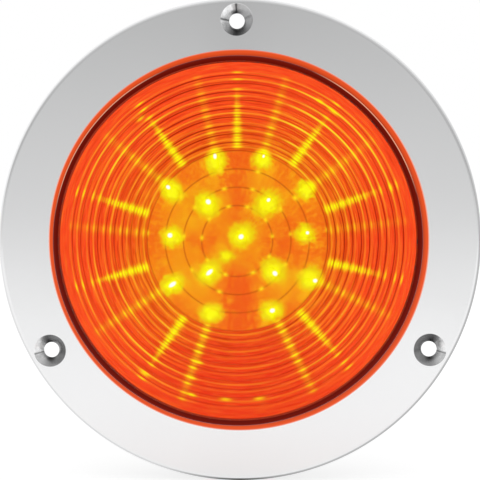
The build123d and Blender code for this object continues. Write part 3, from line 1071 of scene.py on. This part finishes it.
vertices, faces = flange_mesh()
flange = make_piece("flange_pressing", vertices, faces, [steel_finish()])
merge_doubles(flange, 0.002 * MM)
flange.data.set_sharp_from_angle(angle=SHARP)
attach(flange, "root")
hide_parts("bezel_flange")


# %% [markdown]
# ## Finishes of the pieces that stay
# The housing, seals, terminals and electronics are plain moulded or turned pieces, and the
# engineering model has their shape already. Images of plastic or brass could be wrapped round
# them, but would need unwrapping, so each finish is noise in the piece's own space.

# %% Plastic, rubber and metal
def grained(name, dark, light, roughness, scale, depth):
    """Two tones by cloudy noise, and a fine grain that sets the bump and a little of the gloss.

    Roughness is the given one plus 0.12 times the grain's distance from a half.
    """
    g = Graph(name)
    cloud = g.noise(40.0, 3.0)
    grain = g.noise(scale, 2.0, 0.6)
    colour = g.blend(g.step(cloud, 0.3, 0.7), dark, light)
    return g.finish(Base_Color=colour, Roughness=roughness + 0.12 * (grain - 0.5),
                    Normal=g.bump(grain, depth))


def turned_metal(name, colour, tarnish_and_edge_shade, roughness):
    """Metal with faint tarnish by cloudy noise. Roughness is the given one plus 0.1 fine noise."""
    g = Graph(name)
    cloud = g.noise(300.0, 3.0)
    fine = g.noise(2500.0, 2.0)
    tint = g.blend(g.step(cloud, 0.35, 0.75), colour, tarnish_and_edge_shade)
    return g.finish(Base_Color=tint, Metallic=1.0, Roughness=roughness + 0.1 * fine,
                    Normal=g.bump(fine, 0.003 * MM))


def named(prefix):
    """The engineering nodes whose name starts with a prefix."""
    return [n for n in frame["nodes"] if n.startswith(prefix)]


# %% Dress the pieces that stay
PLASTICS = [
    ("housing_plastic", (24, 24, 25), (33, 33, 34), 0.5, 2600.0, 0.03, ["housing"]),
    ("gasket_foam", (20, 20, 20), (30, 30, 30), 0.85, 1500.0, 0.12, ["flange_gasket"]),
    ("seal_rubber", (16, 16, 16), (24, 24, 24), 0.6, 1800.0, 0.02,
     ["lens_seal", "terminal_seal"]),
    ("epoxy_body", (18, 18, 20), (28, 28, 30), 0.4, 3000.0, 0.01,
     ["surge_suppressor", *named("rectifier_diode")]),
    ("resistor_lacquer", (98, 150, 178), (112, 162, 188), 0.3, 3000.0, 0.01,
     named("ballast_resistor")),
]
for name, dark, light, roughness, scale, depth, nodes in PLASTICS:
    dress(grained(name, srgb(*dark), srgb(*light), roughness, scale, depth * MM), *nodes)
dress(turned_metal("terminal_brass", srgb(214, 178, 96), srgb(168, 126, 62), 0.22),
      "terminal_ground", "terminal_marker", "terminal_turn")
dress(turned_metal("zinc_screws", srgb(196, 198, 202), srgb(150, 152, 156), 0.3), "board_screws")


# %% [markdown]
# ## Floor, light and camera
# The lamp stands on a pale floor in a surround, which is its only light. Lamps could be set about
# it, but flat steel would mirror each as a patch. A surround dark above and bright below, as over
# a white table, gives the flange an even gradient. The camera sees it plain white.

# %% The floor
FLOOR_SIZE = 3.0
FLOOR_GAP = 0.4 * MM
FLOOR_WHITE = grey(0.72)


def floor_finish():
    """Grey in the surround's light, lifted to white where it is seen.

    The lift is 1 for a camera ray and 0.9 for one off metal or through glass, at most 1.
    """
    g = Graph("studio_floor")
    camera, glossy, through = g.rays()
    lift = g.cap(camera + 0.9 * g.one("MAXIMUM", glossy, through), 1.0)
    return g.lit(grey(0.5), 0.9, g.blend(lift, grey(0.0), FLOOR_WHITE))


half = FLOOR_SIZE / 2
floor_z = flange_low.z - FLOOR_GAP
floor = make_piece("studio_floor", [(-half, -half, floor_z), (half, -half, floor_z),
                                    (half, half, floor_z), (-half, half, floor_z)],
                   [[0, 1, 2, 3]], [floor_finish()])


# %% The surround
FRONT_LIGHT = [
    (0, 1), (0.36, 0.95), (0.386, 0.9), (0.42, 0.83), (0.44, 0.785), (0.46, 0.74),
    (0.486, 0.69), (0.512, 0.68), (0.536, 0.66), (0.557, 0.62), (0.573, 0.56), (0.59, 0.5),
    (0.62, 0.45), (0.7, 0.52), (1, 0.75)]
BEHIND_LIGHT = grey(0.8)
WHITE = grey(1.0)


def make_world():
    """White to the camera. In front, a level by height; behind, 0.8, or white in metal and glass.

    A ray's direction has length 1, so z / 2 + 1 / 2 runs from 0 straight down to 1 straight up.
    """
    world = bpy.data.worlds.new("studio_surround")
    bpy.context.scene.world = world
    g = Graph(world.name, world)
    _, y, z = g.xyz("Generated")
    front = g.curve(z * 0.5 + 0.5, 1.0, FRONT_LIGHT)
    camera, glossy, through = g.rays()
    behind = g.blend(glossy + through, BEHIND_LIGHT, WHITE)
    colour = g.blend(g.step(y, 0.1, -0.5), behind, front)
    g.finish(Color=g.blend(camera, colour, WHITE), Strength=1.0)


make_world()


# %% The camera
def make_camera(distance, azimuth, elevation, roll, aim, half_frame):
    """A camera at a distance from its aim, whose frame spans half_frame each side there.

    With azimuth a and elevation e it stands towards (sin a cos e, -cos a cos e, sin e). Its
    focal length is half the sensor times distance / half_frame.
    """
    data = bpy.data.cameras.new("camera")
    camera = bpy.data.objects.new("camera", data)
    bpy.context.scene.collection.objects.link(camera)
    a, e = math.radians(azimuth), math.radians(elevation)
    away = Vector((math.sin(a) * math.cos(e), -math.cos(a) * math.cos(e), math.sin(e)))
    camera.location = aim + away * distance
    level = (-away).to_track_quat("-Z", "Y")
    camera.rotation_euler = (level @ Quaternion((0, 0, 1), math.radians(roll))).to_euler()
    data.sensor_width = 36.0
    data.lens = data.sensor_width / 2 * distance / half_frame
    data.clip_start = 0.01
    bpy.context.scene.camera = camera
    print(f"camera {distance} m away, {data.lens:.1f} mm lens")


make_camera(distance=0.310, azimuth=2.0, elevation=1.2, roll=-0.37,
            aim=Vector((0.5 * MM, FLANGE_FRONT + EDGE_ROLL, 0.1 * MM)), half_frame=69.6 * MM)
bpy.context.scene.view_settings.view_transform = "Standard"
